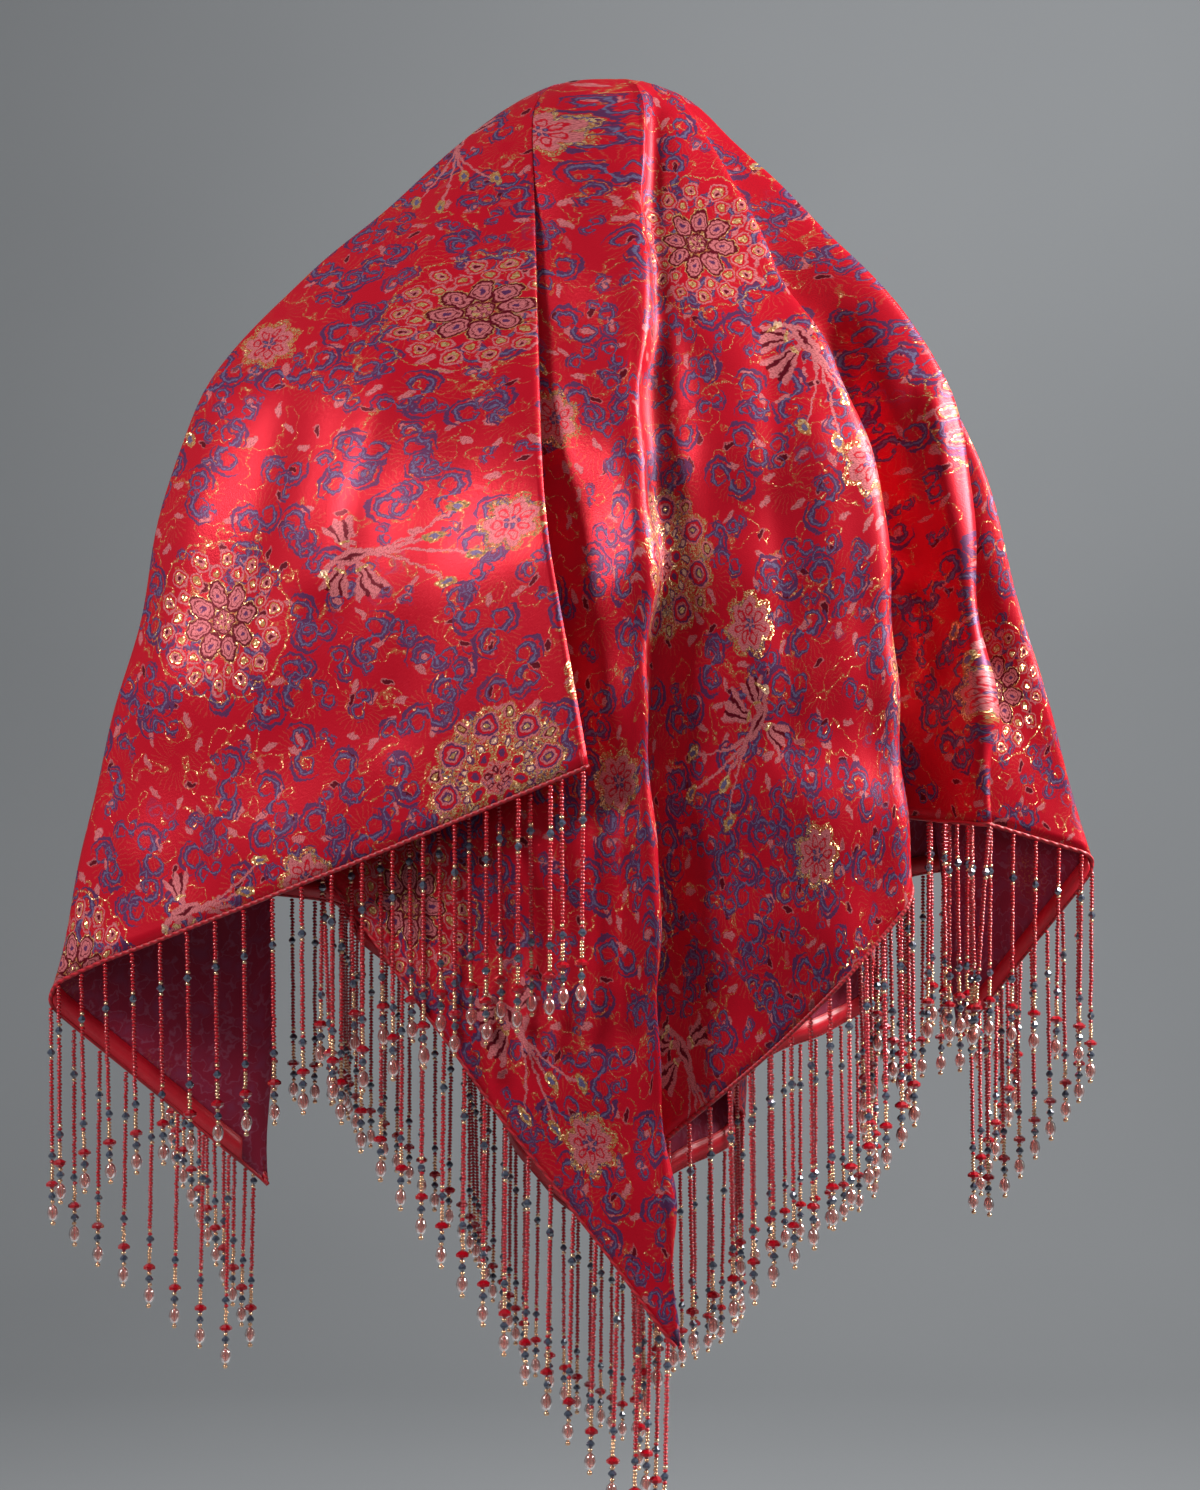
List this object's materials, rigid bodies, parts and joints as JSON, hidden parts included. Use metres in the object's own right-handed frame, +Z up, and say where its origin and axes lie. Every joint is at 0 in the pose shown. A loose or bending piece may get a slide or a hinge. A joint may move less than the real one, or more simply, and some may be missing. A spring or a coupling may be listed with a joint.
{
  "type": "hanfu bridal head veil",
  "caption": "Square brocade head veil for hanfu wedding dress, worn draped from the crown, with a bead fringe on every edge.",
  "frame": {"origin": "under the cloth at the top of the wearer's crown, where the veil rests", "axes": "+Z up, the front along -Y, +X to the viewer's right"},
  "size_m": [0.5277, 0.3123, 0.7291],
  "materials": {
    "brocade": "red satin ground with woven pink, blue and gold motifs",
    "satin": "plain bright red satin",
    "beads": "glossy red seed beads with gold and blue-grey accents"
  },
  "bodies": {
    "root": {"veil_brocade": "brocade", "hem_facing_front_right": "satin", "hem_facing_back_right": "satin", "hem_facing_back_left": "satin", "hem_facing_front_left": "satin", "fringe_front_right": "beads", "fringe_back_right": "beads", "fringe_back_left": "beads", "fringe_front_left": "beads"}
  },
  "joints": []
}
